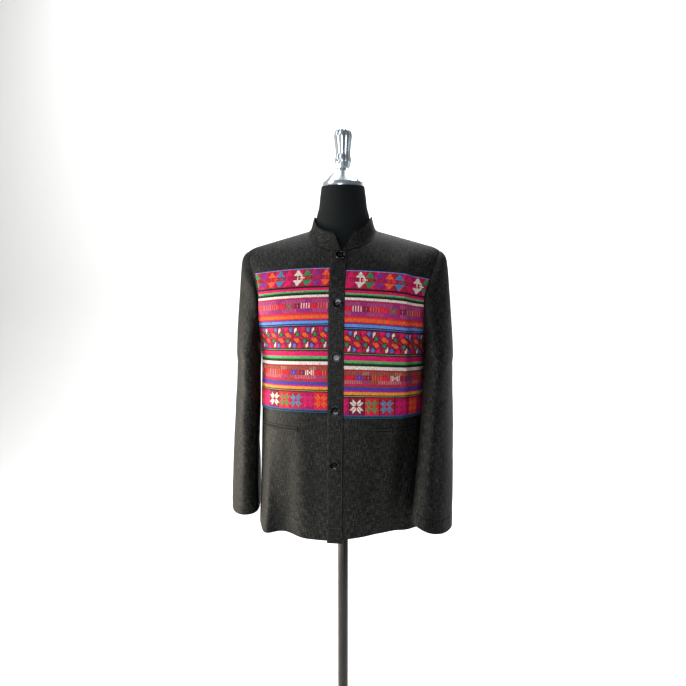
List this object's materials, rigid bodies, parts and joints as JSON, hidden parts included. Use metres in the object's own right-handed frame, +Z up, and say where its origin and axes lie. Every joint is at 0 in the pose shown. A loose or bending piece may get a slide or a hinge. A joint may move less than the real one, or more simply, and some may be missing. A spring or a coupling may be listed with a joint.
{
  "type": "long-sleeved band collar shirt-jacket on a limbless dress form with a pole and round base",
  "caption": "Dark slubbed cotton band collar shirt-jacket with woven striped chest panels, worn by a black jersey dress form with a chromed neck cap and finial.",
  "frame": {"origin": "centre of the base's underside, on the floor, under the form's pole", "axes": "+Z up along the pole; the shirt's front faces -Y; +X is the wearer's left"},
  "size_m": [0.5409, 0.35, 1.7295],
  "materials": {
    "shirt_cloth": "plain-woven slubbed charcoal cotton, matt, edges topstitched in the same colour",
    "panel_cloth": "woven and stitched bands in pink, red, green, white, orange, blue and violet cotton",
    "button_plastic": "glossy black polyester with four thread holes",
    "form_jersey": "smooth black cotton jersey drawn over a moulded form",
    "chromed_metal": "bright chrome plating",
    "stand_paint": "dark red-brown stained and varnished, satin"
  },
  "bodies": {
    "root": {"back": "shirt_cloth", "front_right": "shirt_cloth", "front_left": "shirt_cloth", "sleeve_right": "shirt_cloth", "sleeve_left": "shirt_cloth", "collar": "shirt_cloth", "placket": "shirt_cloth", "pocket_right_upper_welt": "shirt_cloth", "pocket_right_lower_welt": "shirt_cloth", "pocket_left_upper_welt": "shirt_cloth", "pocket_left_lower_welt": "shirt_cloth", "chest_panel_right": "panel_cloth", "chest_panel_left": "panel_cloth", "button_1": "button_plastic", "button_2": "button_plastic", "button_3": "button_plastic", "button_4": "button_plastic", "button_5": "button_plastic", "dress_form": "form_jersey", "neck_cap": "chromed_metal", "finial": "chromed_metal", "pole": "stand_paint", "base": "stand_paint"}
  },
  "joints": []
}
